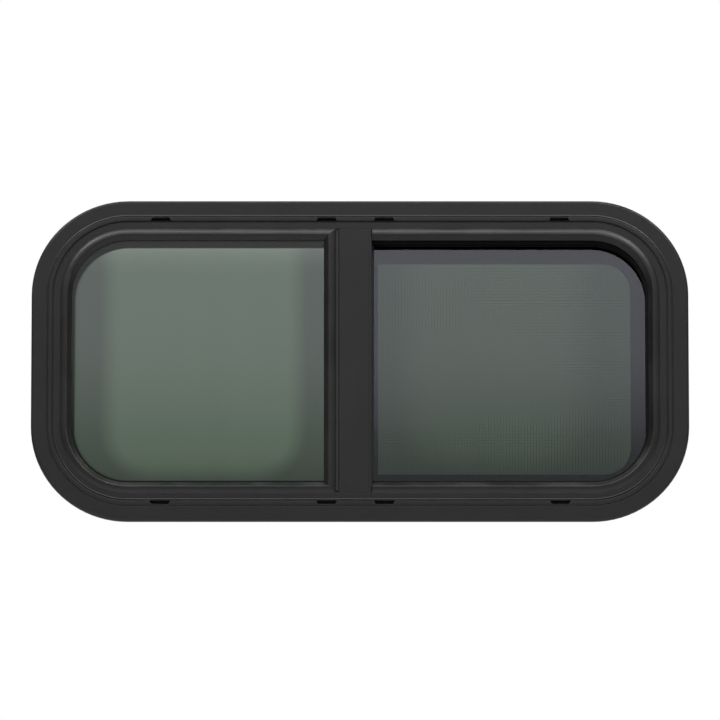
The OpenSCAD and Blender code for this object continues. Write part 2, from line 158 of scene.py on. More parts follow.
# %% Light the world
WORLD_LIGHT = 0.42
WORLD_TILT = 0.3
GLOSS_LOW, GLOSS_HIGH = 0.45, 0.4
GLOSS_BEHIND = 0.5
SIDE_SHADE = 0.6
world = bpy.data.worlds.new("studio")
scene.world = world
world.use_nodes = True
sky = world.node_tree
sky.nodes.clear()
direction = put(sky, "ShaderNodeTexCoord").outputs["Generated"]
way = put(sky, "ShaderNodeSeparateXYZ", inputs={0: direction}).outputs
sideways = calc(sky, "ABSOLUTE", way["X"])
side_level = spread(sky, sideways, 0.15, 0.95, 1.0, 1.0 - SIDE_SHADE)
ray = put(sky, "ShaderNodeLightPath").outputs
gloss_level = spread(sky, way["Z"], -0.35, 0.7, GLOSS_LOW, GLOSS_HIGH)
gloss_level = calc(sky, "MULTIPLY", gloss_level, spread(sky, way["Y"], -0.2, 0.5, 1.0, GLOSS_BEHIND))
fill_low, fill_high = WORLD_LIGHT * (1 - WORLD_TILT), WORLD_LIGHT * (1 + WORLD_TILT)
fill_level = spread(sky, way["Z"], -0.6, 0.9, fill_low, fill_high)
seen_white = calc(sky, "MAXIMUM", ray["Is Camera Ray"], ray["Is Transmission Ray"])
level = put(sky, "ShaderNodeMix", {"data_type": "FLOAT"},
            {0: ray["Is Glossy Ray"], 2: fill_level, 3: gloss_level}).outputs[0]
level = calc(sky, "MULTIPLY", level, side_level)
level = put(sky, "ShaderNodeMix", {"data_type": "FLOAT"}, {0: seen_white, 2: level, 3: 1.0}).outputs[0]
background = put(sky, "ShaderNodeBackground", inputs={"Color": grey(1.0), "Strength": level})
put(sky, "ShaderNodeOutputWorld", inputs={"Surface": background.outputs[0]})
print("world has", len(sky.nodes), "nodes")

# %% [markdown]
# ## Floor
# The window is held up just clear of a pale floor, which keeps its soft shadow and throws light up
# at the undersides. The camera looks up from below the floor's level, so the floor's underside lets
# it through. A plain floor would look grey beside the white world, so it glows a little for the
# camera. For mirrored rays it glows too, brightly near the window and less far from it: that lights
# the lower rims and leaves the downward slope of the upper bead dark.


# %% Helpers for stage pieces
def stage_plane(name, width, height, place, upright):
    """A flat stage piece, lying down or standing square to the window."""
    bm = bmesh.new()
    bmesh.ops.create_grid(bm, x_segments=1, y_segments=1, size=0.5)
    bmesh.ops.scale(bm, vec=(width, height, 1), verts=bm.verts)
    if upright:
        bmesh.ops.rotate(bm, matrix=Matrix.Rotation(math.radians(90), 3, "X"), verts=bm.verts)
    bmesh.ops.translate(bm, vec=place, verts=bm.verts)
    mesh = bpy.data.meshes.new(name)
    bm.to_mesh(mesh)
    bm.free()
    piece = bpy.data.objects.new(name, mesh)
    scene.collection.objects.link(piece)
    return piece


def new_material(name):
    """An empty material, its node tree and its output node."""
    material = bpy.data.materials.new(name)
    material.use_nodes = True
    tree = material.node_tree
    tree.nodes.clear()
    return material, tree, tree.nodes.new("ShaderNodeOutputMaterial")


print("stage helpers ready")

# %% Lay the floor
FLOOR_SIZE = 12
FLOOR_PALE = 0.8
FLOOR_GAP = 30 * MM
FLOOR_FAR_Y, FLOOR_NEAR_Y = -0.27, -0.13
FLOOR_GLOSS_FAR, FLOOR_GLOSS_NEAR = 0.4, 0.9
FLOOR_LIFT = 0.45
floor = stage_plane("floor", FLOOR_SIZE, FLOOR_SIZE, (0, 0, -HALF_H - FLOOR_GAP), upright=False)
floor_finish, tree, out = new_material("pale floor")
underside = put(tree, "ShaderNodeNewGeometry").outputs["Backfacing"]
pale = tint(tree, noise(tree, 3.0, 2.0), grey(FLOOR_PALE * 0.98), grey(FLOOR_PALE * 1.02))
lit = put(tree, "ShaderNodeBsdfDiffuse", inputs={"Color": pale}).outputs[0]
clear = put(tree, "ShaderNodeBsdfTransparent").outputs[0]
ray = put(tree, "ShaderNodeLightPath").outputs
mirrored = spread(tree, object_spot(tree)["Y"], FLOOR_FAR_Y, FLOOR_NEAR_Y,
                  FLOOR_GLOSS_FAR, FLOOR_GLOSS_NEAR)
mirrored = calc(tree, "MULTIPLY", ray["Is Glossy Ray"], mirrored)
glow = calc(tree, "MAXIMUM", ray["Is Camera Ray"], mirrored)
white = put(tree, "ShaderNodeEmission", inputs={"Color": grey(1.0), "Strength": glow}).outputs[0]
lifted = calc(tree, "MULTIPLY", ray["Is Camera Ray"], FLOOR_LIFT)
own_light = calc(tree, "ADD", ray["Is Glossy Ray"], lifted)
lit = put(tree, "ShaderNodeMixShader", inputs={0: own_light, 1: lit, 2: white}).outputs[0]
surface = put(tree, "ShaderNodeMixShader", inputs={0: underside, 1: lit, 2: clear}).outputs[0]
tree.links.new(surface, out.inputs["Surface"])
floor.data.materials.append(floor_finish)
print("floor at", round(floor.data.vertices[0].co.z, 4))

# %% [markdown]
# ## Lamps
# One wide soft lamp hangs above and in front and draws the long highlight on the glazing bead. Two
# small ones stand high at the left and the right, and make the highlight flare where the bead and
# the grooves turn the corners. A sun would draw one hard thin line instead, which satin paint on a
# cloudy day doesn't show.


# %% Hang the lamps
LAMP_DISTANCE = 2.2


def soft_lamp(name, side, rise, width, height, power):
    """A rectangular lamp at a side angle and a rise, turned to the middle of the window."""
    lamp = bpy.data.objects.new(name, bpy.data.lights.new(name, "AREA"))
    scene.collection.objects.link(lamp)
    lamp.data.shape = "RECTANGLE"
    lamp.data.size = width
    lamp.data.size_y = height
    lamp.data.energy = power
    side, rise = math.radians(side), math.radians(rise)
    level = math.cos(rise)
    toward = Vector((math.sin(side) * level, -math.cos(side) * level, math.sin(rise)))
    lamp.location = LAMP_DISTANCE * toward
    lamp.rotation_euler = toward.to_track_quat("Z", "Y").to_euler()
    print(name, "at", [round(v, 2) for v in lamp.location])


soft_lamp("wide lamp", 0, 50, 2.4, 0.7, 22.0)
soft_lamp("left lamp", -45, 46, 0.6, 0.6, 9.0)
soft_lamp("right lamp", 45, 46, 0.6, 0.6, 11.0)

# %% [markdown]
# ## What the glass shows
# Dark glass is only as good as what it mirrors and what stands behind it. A card in front glows for
# mirrored rays alone, a painted reflection, and a card behind glows only for rays through the glass.
# Both fade from a pale top to a dark bottom, painted shade as on a studio wall lit from above, and
# neither lights the window. Their levels are drawn in the window's own x and z, so a helper carries
# each spot of a card to the spot where the camera sees it.
# A whole room and a sky could be modelled instead, but all that the panes show is these soft levels.


# %% Helpers for the cards
def soft_box(tree, x, z, centre, half, radius, fade):
    """One inside a rounded rectangle, falling softly to zero outside it."""
    across = calc(tree, "ABSOLUTE", calc(tree, "SUBTRACT", x, centre[0]))
    up = calc(tree, "ABSOLUTE", calc(tree, "SUBTRACT", z, centre[1]))
    out_x = calc(tree, "MAXIMUM", calc(tree, "SUBTRACT", across, half[0] - radius), 0.0)
    out_z = calc(tree, "MAXIMUM", calc(tree, "SUBTRACT", up, half[1] - radius), 0.0)
    reach = calc(tree, "SQRT", calc(tree, "ADD", calc(tree, "MULTIPLY", out_x, out_x),
                                    calc(tree, "MULTIPLY", out_z, out_z)))
    return spread(tree, reach, radius, radius + fade, 1.0, 0.0)


def place_on_pane(tree, y):
    """The spot on the window, in x and z, that a spot on a card at y is seen through."""
    spot = object_spot(tree)
    scale = VIEW_DISTANCE / (VIEW_DISTANCE + abs(y))
    z = calc(tree, "MULTIPLY", calc(tree, "SUBTRACT", spot["Z"], abs(y) * RISE), scale)
    return calc(tree, "MULTIPLY", spot["X"], scale), z


def grade(tree, value, stops):
    """A smooth run of grey levels along a value from 0 to 1."""
    node = put(tree, "ShaderNodeValToRGB", inputs={"Fac": value})
    node.color_ramp.interpolation = "B_SPLINE"
    elements = node.color_ramp.elements
    while len(elements) < len(stops):
        elements.new(0.5)
    for element, (place, shade) in zip(elements, stops):
        element.position = place
        element.color = grey(shade)
    return node.outputs["Color"]


def stand_card(name, size, y, level, strength, shown):
    """A card that glows at a level for the rays that may see it, and is clear to the rest."""
    card = stage_plane(name, *size, (0, y, abs(y) * RISE), upright=True)
    card.visible_shadow = False
    material, tree, out = new_material(name)
    glow = put(tree, "ShaderNodeEmission",
               inputs={"Color": level(tree), "Strength": strength}).outputs[0]
    clear = put(tree, "ShaderNodeBsdfTransparent").outputs[0]
    mix = put(tree, "ShaderNodeMixShader", inputs={0: shown(tree), 1: clear, 2: glow})
    tree.links.new(mix.outputs[0], out.inputs["Surface"])
    card.data.materials.append(material)
    print(name, "at y", y, "with", len(tree.nodes), "nodes")


RISE = math.tan(-VIEW_RISE)
print("rise of the cards for each metre away:", round(RISE, 4))

# %% [markdown]
# ### Front card
# The glass mirrors a bluish wall that is pale high up and dark low down, all of it a painted
# reflection. Along the rim of the fixed pane the mirror image is dimmer and grey: painted shade in the
# reflection.

# %% Level of the front card
FRONT_Y = -2.0
FRONT_SIZE = (0.84, 0.36)
FRONT_STRENGTH = 2.0
FRONT_STOPS = [(0.1, 0.25), (0.22, 0.32), (0.27, 0.37), (0.32, 0.49), (0.41, 0.66), (0.5, 0.8),
               (0.6, 0.87), (0.7, 0.87), (0.85, 0.96)]
FRONT_COLOUR = (1.0, 0.98, 1.16, 1.0)
RIM_SHADE_LEVEL = 0.5
# Centre, half sizes, corner radius and fade of the part inside the rim, as seen on the window
FIXED_MIDDLE = (-0.16, -0.0035), (0.186, 0.1445), 0.066, 0.002
FIXED_END_X = -0.02


def front_level(tree):
    """Painted reflection: pale top, dark bottom, and painted shade in a rim along the fixed pane's
    edge.
    """
    x, z = place_on_pane(tree, FRONT_Y)
    shade = grade(tree, spread(tree, z, -HALF_H, HALF_H), FRONT_STOPS)
    # Full inside this box; along the fixed pane's rim it falls to the rim level, painted shade
    middle = soft_box(tree, x, z, *FIXED_MIDDLE)
    middle = calc(tree, "MAXIMUM", middle, calc(tree, "GREATER_THAN", x, FIXED_END_X))
    return put(tree, "ShaderNodeVectorMath", {"operation": "MULTIPLY"},
               {0: shade, 1: tint(tree, middle, grey(RIM_SHADE_LEVEL), FRONT_COLOUR)}).outputs[0]


def seen_in_gloss(tree):
    """One for mirrored rays."""
    return put(tree, "ShaderNodeLightPath").outputs["Is Glossy Ray"]


print("levels of the front card:", len(FRONT_STOPS))

# %% Stand the front card
stand_card("front card", FRONT_SIZE, FRONT_Y, front_level, FRONT_STRENGTH, seen_in_gloss)

# %% [markdown]
# ### Back card
# Through each pane a soft pool of painted light shows, darker towards the sides and the bottom as
# the frame's painted shadow, with faint upright bands of painted shade as folds in a curtain give. High
# up behind the fixed pane there is a painted warm glow. The card is clear from its back, so that it
# never hides the window.

# %% Sizes and levels of the back card
BACK_Y = 1.2
BACK_SIZE = (1.3, 0.8)
BACK_STRENGTH = 0.66
BACK_LOW = 0.66
BACK_LOW_Z, BACK_FULL_Z = -0.152, -0.115
# Centre, half sizes, corner radius and fade of each pane's painted pool of light, seen on the window
LEFT_PATCH = (-0.191, 0.04), (0.1045, 0.172), 0.045, 0.022
RIGHT_PATCH = (0.164, 0.04), (0.079, 0.149), 0.045, 0.045
SIDE_LEVEL_LEFT, SIDE_LEVEL_RIGHT = 0.5, 0.66
RIGHT_LOW, RIGHT_HIGH = 0.84, 0.96
RIGHT_LOW_Z, RIGHT_HIGH_Z = -0.12, 0.12
FOLD_SCALE, FOLD_DEPTH = 24.0, 0.03
HALVES_MEET = 0.01
TOP_GLOW = (0.77, 0.52, 0.81)
GLOW_START_X, GLOW_FULL_X = -0.02, -0.04
GLOW_START_Z, GLOW_FULL_Z = 0.108, 0.142
print("patches behind the panes:", LEFT_PATCH[0], RIGHT_PATCH[0])


# %% Level of the back card
def back_level(tree):
    """Painted light: a pool for each pane, painted shadow at its sides and bottom, and a glow at the
    top.
    """
    x, z = place_on_pane(tree, BACK_Y)
    patch = calc(tree, "MAXIMUM", soft_box(tree, x, z, *LEFT_PATCH), soft_box(tree, x, z, *RIGHT_PATCH))
    # Outside each pool of light the level falls to the side level: the frame's painted shadow
    side = spread(tree, x, -HALVES_MEET, HALVES_MEET, SIDE_LEVEL_LEFT, SIDE_LEVEL_RIGHT)
    gain = calc(tree, "MULTIPLY", patch, calc(tree, "SUBTRACT", 1.0, side))
    level = calc(tree, "ADD", side, gain)
    # Painted shadow of the frame along the bottom
    level = calc(tree, "MULTIPLY", level, spread(tree, z, BACK_LOW_Z, BACK_FULL_Z, BACK_LOW, 1.0))
    # Faint upright bands of painted shade, as folds in a curtain give
    folds = noise(tree, FOLD_SCALE, 1.0, W=x)
    folds = spread(tree, folds, 0.25, 0.75, 1 - FOLD_DEPTH, 1 + FOLD_DEPTH)
    level = calc(tree, "MULTIPLY", level, folds)
    # Behind the sliding pane the level falls towards the bottom: painted shade
    fall = spread(tree, z, RIGHT_LOW_Z, RIGHT_HIGH_Z, RIGHT_LOW, RIGHT_HIGH)
    on_right = calc(tree, "GREATER_THAN", x, 0.0)
    level = calc(tree, "MULTIPLY", level, spread(tree, on_right, 0.0, 1.0, 1.0, fall))
    # A painted warm glow high up behind the fixed pane
    glow = calc(tree, "MULTIPLY", spread(tree, z, GLOW_START_Z, GLOW_FULL_Z),
                spread(tree, x, GLOW_START_X, GLOW_FULL_X))
    glow = put(tree, "ShaderNodeVectorMath", {"operation": "SCALE"},
               {0: TOP_GLOW, "Scale": calc(tree, "MULTIPLY", glow, glow)}).outputs[0]
    return put(tree, "ShaderNodeVectorMath", {"operation": "ADD"}, {0: level, 1: glow}).outputs[0]


def seen_through_glass(tree):
    """One for rays that passed the glass and meet the card's front."""
    ray = put(tree, "ShaderNodeLightPath").outputs
    behind = put(tree, "ShaderNodeNewGeometry").outputs["Backfacing"]
    facing = calc(tree, "SUBTRACT", 1.0, behind)
    return calc(tree, "MULTIPLY", ray["Is Transmission Ray"], facing)


print("levels of the back card ready")

# %% Stand the back card
stand_card("back card", BACK_SIZE, BACK_Y, back_level, BACK_STRENGTH, seen_through_glass)

# %% [markdown]
# ## Shared effects
# Powder coat, the fine lines that a die leaves along an extrusion, paler edges that are partly worn
# and partly a painted highlight, and dust that also paints light on faces that look up turn up on
# several pieces. Each is a node group with named sockets, so that one effect is drawn once and every
# finish uses it with its own values.


# %% Start a shader group
def new_group(name, inputs, outputs):
    """A node group with named sockets, with its input and output ends."""
    tree = bpy.data.node_groups.new(name, "ShaderNodeTree")
    for label, kind, value in inputs:
        socket = tree.interface.new_socket(label, in_out="INPUT", socket_type=kind)
        if value is not None:
            socket.default_value = value
    for label, kind in outputs:
        tree.interface.new_socket(label, in_out="OUTPUT", socket_type=kind)
    start = tree.nodes.new("NodeGroupInput").outputs
    end = tree.nodes.new("NodeGroupOutput").inputs
    return tree, start, end


def use(tree, group, inputs=()):
    """Place a group in a material and give back its outputs."""
    return put(tree, "ShaderNodeGroup", {"node_tree": group}, inputs).outputs


NUMBER = "NodeSocketFloat"
ARROW = "NodeSocketVector"
print("group helpers ready")

# %% [markdown]
# ### Powder coat
# Baked powder has a soft orange-peel skin, about half a millimetre from bump to bump, with fine
# specks. Two noises at those two sizes make it, and a slow third one varies the tone. Moving real
# faces that little would take millions of them, so the skin is only a height for a Bump node.

# %% Powder coat group
powder, start, end = new_group(
    "powder coat",
    [("Peel Size", NUMBER, 0.6 * MM), ("Patch Size", NUMBER, 90 * MM)],
    [("Height", NUMBER), ("Speck", NUMBER), ("Patch", NUMBER)])
where = put(powder, "ShaderNodeTexCoord").outputs["Object"]
peel_scale = calc(powder, "DIVIDE", 1.0, start["Peel Size"])
peel = noise(powder, peel_scale, 3.0, Vector=where, Roughness=0.55)
speck_scale = calc(powder, "MULTIPLY", peel_scale, 3.1)
speck = put(powder, "ShaderNodeTexVoronoi", inputs={"Vector": where, "Scale": speck_scale})
speck = put(powder, "ShaderNodeSeparateColor", inputs={0: speck.outputs["Color"]}).outputs[0]
patch_scale = calc(powder, "DIVIDE", 1.0, start["Patch Size"])
patch = noise(powder, patch_scale, 4.0, Vector=where, Roughness=0.6)
powder.links.new(peel, end["Height"])
powder.links.new(speck, end["Speck"])
powder.links.new(patch, end["Patch"])
print("group", powder.name, "with", len(powder.nodes), "nodes")

# %% [markdown]
# ### Die lines
# An extrusion carries faint lines that run along it, also round its bends. On the frame they follow
# the distance from the outer edge, which for a rounded rectangle takes a few steps of arithmetic. On
# the straight pieces they simply follow x. A picture of brushed metal would have to be unwrapped
# round the bends, and this follows any size by itself.

# %% Die line groups
ring_way, start, end = new_group(
    "distance from the edge",
    [("Half Width", NUMBER, HALF_W), ("Half Height", NUMBER, HALF_H),
     ("Corner Radius", NUMBER, CORNER_R)],
    [("Distance", NUMBER)])
spot = object_spot(ring_way)
past = []
for axis, half in (("X", "Half Width"), ("Z", "Half Height")):
    straight = calc(ring_way, "SUBTRACT", start[half], start["Corner Radius"])
    past.append(calc(ring_way, "SUBTRACT", calc(ring_way, "ABSOLUTE", spot[axis]), straight))
square_sum = calc(ring_way, "ADD", *[calc(ring_way, "POWER", calc(ring_way, "MAXIMUM", p, 0.0), 2.0)
                                     for p in past])
inside = calc(ring_way, "MINIMUM", calc(ring_way, "MAXIMUM", *past), 0.0)
reach = calc(ring_way, "ADD", calc(ring_way, "SQRT", square_sum), inside)
ring_way.links.new(calc(ring_way, "SUBTRACT", start["Corner Radius"], reach), end["Distance"])

lines, start, end = new_group(
    "die lines",
    [("Distance", NUMBER, 0.0), ("Spacing", NUMBER, 0.9 * MM)],
    [("Height", NUMBER), ("Tone", NUMBER)])
fine_scale = calc(lines, "DIVIDE", 1.0, start["Spacing"])
broad_scale = calc(lines, "DIVIDE", 0.15, start["Spacing"])
fine = noise(lines, fine_scale, 3.0, W=start["Distance"], Roughness=0.7)
broad = noise(lines, broad_scale, 1.0, W=start["Distance"])
both = calc(lines, "ADD", calc(lines, "MULTIPLY", fine, 0.5), calc(lines, "MULTIPLY", broad, 0.5))
lines.links.new(fine, end["Height"])
lines.links.new(both, end["Tone"])
print("groups", ring_way.name, "and", lines.name)

# %% [markdown]
# ### Edges
# No real edge is sharp. The Bevel node looks a fraction of a millimetre round each point and gives
# the normal that a rounded edge would have. Where it differs from the true normal there is an edge,
# and there the rounded normal catches the light, and the finishes paint a paler colour that is partly
# paint rubbed thin and partly a painted highlight. The edges could be bevelled in the mesh, but the
# imported meshes stay as they are.

# %% Edge group
edges, start, end = new_group(
    "edges",
    [("Radius", NUMBER, 0.5 * MM)],
    [("Rounded Normal", ARROW), ("Edge", NUMBER)])
rounded = put(edges, "ShaderNodeBevel", {"samples": 6}, {"Radius": start["Radius"]}).outputs[0]
true_normal = put(edges, "ShaderNodeNewGeometry").outputs["Normal"]
alike = put(edges, "ShaderNodeVectorMath", {"operation": "DOT_PRODUCT"},
            {0: rounded, 1: true_normal}).outputs["Value"]
edges.links.new(rounded, end["Rounded Normal"])
edges.links.new(spread(edges, alike, 0.995, 0.85), end["Edge"])
print("group", edges.name)

# %% [markdown]
# ### Dust and painted top light
# Dust lies where a surface looks up and gathers in soft drifts. The same mask also stands for the
# light that falls on faces that look up, so it is partly dust and partly painted light. It lightens
# the colour and kills the gloss, so the group gives one mask that each finish uses twice. It could be
# painted on by hand, but a mask that reads the normal settles on new pieces too.

# %% Dust group
dust_and_top_light, start, end = new_group(
    "dust_and_top_light", [("Amount", NUMBER, 0.3)], [("Mask", NUMBER)])
where = put(dust_and_top_light, "ShaderNodeTexCoord").outputs["Object"]
drift = spread(dust_and_top_light, noise(dust_and_top_light, 14.0, 6.0, Vector=where, Roughness=0.65), 0.42, 0.75)
up = put(dust_and_top_light, "ShaderNodeSeparateXYZ",
         inputs={0: put(dust_and_top_light, "ShaderNodeNewGeometry").outputs["Normal"]}).outputs["Z"]
# Faces that look up get more: dust, and painted light from the lamps above
lying_and_lit = spread(dust_and_top_light, up, -0.1, 0.7, 0.08, 1.0)
mask = calc(dust_and_top_light, "MULTIPLY", calc(dust_and_top_light, "MULTIPLY", drift, lying_and_lit), start["Amount"])
dust_and_top_light.links.new(mask, end["Mask"])
print("group", dust_and_top_light.name)

# %% [markdown]
# ## Painted metal
# The frame, the mullion, the beads and the clamp ring are aluminium with a dark grey powder coat.
# One function mixes the effects, and its arguments are what differs: colour, gloss, dust with painted
# top light, how far the edges are paled by wear and painted highlight, and whether the die lines run
# round the ring or up the window. Deep in the frame's channel the colour is darkened as painted
# shade, and the coat is duller there.


# %% Powder coated metal
# Grey of dust, which on faces that look up is also painted light
DUST_AND_LIGHT_GREY = (0.16, 0.155, 0.145, 1.0)
PATCHY = 0.12
SPECKS, SPECK_PALE = 0.12, 2.2
EDGE_WEAR_AND_HIGHLIGHT, WORN_AND_LIT_PALE = 0.7, 4.5
PEEL_DEPTH = 0.04 * MM


def paint(name, shade, rough, way="ring", blue=1.02, dust_and_light=0.12, peel=0.6 * MM, shine=0.5,
          channel_shade_from=None, soft=0.6 * MM):
    """Dark powder coat on an extrusion."""
    material, tree, out = new_material(name)
    coat = use(tree, powder, {"Peel Size": peel})
    if way == "ring":
        distance = use(tree, ring_way)["Distance"]
    else:
        distance = object_spot(tree)["X"]
    die = use(tree, lines, {"Distance": distance})
    edge = use(tree, edges, {"Radius": soft})
    mask = use(tree, dust_and_top_light, {"Amount": dust_and_light})["Mask"]
    tone = calc(tree, "ADD", calc(tree, "MULTIPLY", coat["Patch"], 0.6),
                calc(tree, "MULTIPLY", die["Tone"], 0.4))
    low, high = grey(shade * (1 - PATCHY), blue), grey(shade * (1 + PATCHY), blue)
    colour = tint(tree, spread(tree, tone, 0.3, 0.7), low, high)
    specks = calc(tree, "MULTIPLY", coat["Speck"], SPECKS)
    colour = tint(tree, specks, colour, grey(shade * SPECK_PALE, blue))
    # Paler edges: partly paint rubbed thin, partly a painted highlight
    worn_and_lit = calc(tree, "MULTIPLY", edge["Edge"], EDGE_WEAR_AND_HIGHLIGHT)
    colour = tint(tree, worn_and_lit, colour, grey(shade * WORN_AND_LIT_PALE, blue))
    # Dust, and painted light on faces that look up
    colour = tint(tree, mask, colour, DUST_AND_LIGHT_GREY)
    gloss = spread(tree, coat["Patch"], 0.3, 0.7, rough - 0.04, rough + 0.04)
    gloss = calc(tree, "ADD", gloss, calc(tree, "MULTIPLY", mask, 0.3))
    # Painted shade deep in the frame's channel, where the coat is also duller
    if channel_shade_from:
        channel_shade = spread(tree, distance, channel_shade_from, channel_shade_from + 1 * MM)
        colour = tint(tree, channel_shade, colour, grey(shade * 0.2))
        gloss = calc(tree, "MAXIMUM", gloss, calc(tree, "MULTIPLY", channel_shade, 0.85))
    height = calc(tree, "ADD", coat["Height"], calc(tree, "MULTIPLY", die["Height"], 0.5))
    bump = put(tree, "ShaderNodeBump", inputs={"Strength": 0.35, "Distance": PEEL_DEPTH,
                                               "Height": height, "Normal": edge["Rounded Normal"]})
    shader = put(tree, "ShaderNodeBsdfPrincipled",
                 inputs={"Base Color": colour, "Roughness": gloss, "Normal": bump.outputs[0],
                         "Specular IOR Level": shine})
    tree.links.new(shader.outputs[0], out.inputs["Surface"])
    return material


print("paint helper ready")

# %% Mix the paints
# Inset from the flange's edge beyond which the frame paint is darkened as painted shade
CHANNEL_SHADE_IN = 46 * MM
frame_paint = paint("frame paint", 0.0137, 0.4, shine=0.34, channel_shade_from=CHANNEL_SHADE_IN)
upright_paint = paint("mullion paint", 0.0145, 0.4, way="up", shine=0.34, soft=0.25 * MM)
# The frame's coat, made darker on the beads as painted shade, with more painted light on upward slopes
shaded_bead_paint = paint("bead paint", 0.007, 0.38, dust_and_light=0.35, soft=0.4 * MM)
shaded_upright_bead_paint = paint("mullion bead paint", 0.007, 0.38, way="up", dust_and_light=0.35, soft=0.4 * MM)
lip_paint = paint("lip paint", 0.012, 0.38, shine=0.45, soft=0.15 * MM)
inner_paint = paint("clamp ring paint", 0.022, 0.5)
screen_paint = paint("screen frame paint", 0.08, 0.5, way="up", blue=1.1, dust_and_light=0.2)
print("paints:", [m.name for m in bpy.data.materials if "paint" in m.name])

# %% [markdown]
# ## Rubber, foam, plastic and pile
# What seals and slides is black. Rubber is matt and slightly bloomed, foam shows its cells, moulded
# plastic has a spark-eroded grain, and the brush seal is thousands of short fibres. The fibres could
# be grown as hair, but the seal sits deep behind the stile, so a stretched grain is enough.


# %% Grained finishes
def grained(name, shade, rough, size, depth, cells=False, stretch=(1, 1, 1), dust_and_light=0.1, speckle=1.6):
    """A dark finish whose surface is a grain of one size, round or stretched."""
    material, tree, out = new_material(name)
    where = put(tree, "ShaderNodeTexCoord").outputs["Object"]
    where = put(tree, "ShaderNodeMapping", inputs={"Vector": where, "Scale": stretch}).outputs[0]
    if cells:
        cell = put(tree, "ShaderNodeTexVoronoi", inputs={"Vector": where, "Scale": 1 / size})
        grain = cell.outputs["Distance"]
    else:
        grain = noise(tree, 1 / size, 4.0, Vector=where)
    coat = use(tree, powder, {"Peel Size": size * 4, "Patch Size": 40 * MM})
    edge = use(tree, edges, {"Radius": 0.4 * MM})
    mask = use(tree, dust_and_top_light, {"Amount": dust_and_light})["Mask"]
    colour = tint(tree, spread(tree, grain, 0.2, 0.8), grey(shade * 0.7), grey(shade * speckle))
    colour = tint(tree, spread(tree, coat["Patch"], 0.35, 0.75, 0.0, 0.4), colour, grey(shade * 1.5))
    # Paler edges: partly wear, partly a painted highlight
    colour = tint(tree, calc(tree, "MULTIPLY", edge["Edge"], 0.3), colour, grey(shade * 2.5))
    # Dust, and painted light on faces that look up
    colour = tint(tree, mask, colour, DUST_AND_LIGHT_GREY)
    gloss = spread(tree, coat["Patch"], 0.3, 0.7, rough - 0.06, rough + 0.06)
    bump = put(tree, "ShaderNodeBump", inputs={"Strength": 0.6, "Distance": depth, "Height": grain,
                                               "Normal": edge["Rounded Normal"]})
    shader = put(tree, "ShaderNodeBsdfPrincipled",
                 inputs={"Base Color": colour, "Roughness": gloss, "Normal": bump.outputs[0]})
    tree.links.new(shader.outputs[0], out.inputs["Surface"])
    return material


print("grain helper ready")

# %% Mix the dark finishes
rubber = grained("seal rubber", 0.014, 0.72, 0.35 * MM, 0.03 * MM)
strip_rubber = grained("mullion strip rubber", 0.011, 0.65, 0.35 * MM, 0.03 * MM)
foam = grained("flange foam", 0.012, 0.9, 0.7 * MM, 0.25 * MM, cells=True)
tape = grained("glazing tape", 0.01, 0.8, 0.5 * MM, 0.1 * MM, cells=True, dust_and_light=0.0)
plastic = grained("black plastic", 0.016, 0.5, 0.25 * MM, 0.02 * MM)
pile = grained("brush pile", 0.012, 0.85, 0.18 * MM, 0.4 * MM, stretch=(1, 0.12, 1), dust_and_light=0.0,
               speckle=2.5)
print("dark finishes made:", [m.name for m in (rubber, strip_rubber, foam, tape, plastic, pile)])

# %% [markdown]
# ## Glass
# Tinted safety glass is coloured right through. The tint is set on the shader for the whole slab. It
# changes by a hundredth from place to place, and a thin film of dust dulls the mirror image here and
# there, so that the pane isn't perfect. Float glass is flat, so there is no bump. A thin sheet that
# is partly see-through would render faster, but it wouldn't show the depth of a 4 mm slab.


# %% Tinted glass
def tinted(name, colour, film):
    """Clear coloured glass with a thin film of dust in drifts."""
    material, tree, out = new_material(name)
    where = put(tree, "ShaderNodeTexCoord").outputs["Object"]
    smear = noise(tree, 9.0, 5.0, Vector=where)
    mask = use(tree, dust_and_top_light, {"Amount": film})["Mask"]
    low, high = [tuple(share * c for c in colour) + (1.0,) for share in (0.985, 1.015)]
    shaded = tint(tree, spread(tree, smear, 0.3, 0.7), low, high)
    shader = put(tree, "ShaderNodeBsdfPrincipled",
                 inputs={"Base Color": shaded, "Roughness": calc(tree, "MULTIPLY", mask, 0.03),
                         "IOR": 1.5, "Transmission Weight": 1.0})
    tree.links.new(shader.outputs[0], out.inputs["Surface"])
    return material


glass = tinted("tinted glass", (0.115, 0.170, 0.110), 0.3)
print(glass.name, "made")

# %% [markdown]
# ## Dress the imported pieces
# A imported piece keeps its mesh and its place, and only its material slots are filled. Finishes could
# be given face by face, but each piece is made of one stuff, so a list of names for each will do.

# %% Give each piece its finish
FINISHES = {
    frame_paint: ["outer_frame"],
    upright_paint: ["mullion_post", "sash_stile"],
    shaded_bead_paint: ["fixed_side_bead", "sliding_side_bead"],
    shaded_upright_bead_paint: ["mullion_bead"],
    inner_paint: ["clamp_ring"],
    screen_paint: ["screen_frame"],
    rubber: ["mullion_seal", "sash_bumper", "screen_spline"],
    strip_rubber: ["mullion_strip"],
    foam: ["flange_seal"],
    tape: ["fixed_glass_tape"],
    plastic: ["mullion_top_block", "mullion_bottom_block", "top_runner", "bottom_runner", "side_runner",
              "latch_body", "latch_lever", "latch_keeper", "screen_rail", "screen_pull"],
    pile: ["stile_seal"],
    glass: ["fixed_glass", "sliding_glass"],
}
for material, names in FINISHES.items():
    for name in names:
        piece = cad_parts[name]
        for place in piece.material_slots:
            place.material = material
dressed = sum(len(names) for names in FINISHES.values())
print("dressed", dressed, "of", len(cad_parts))

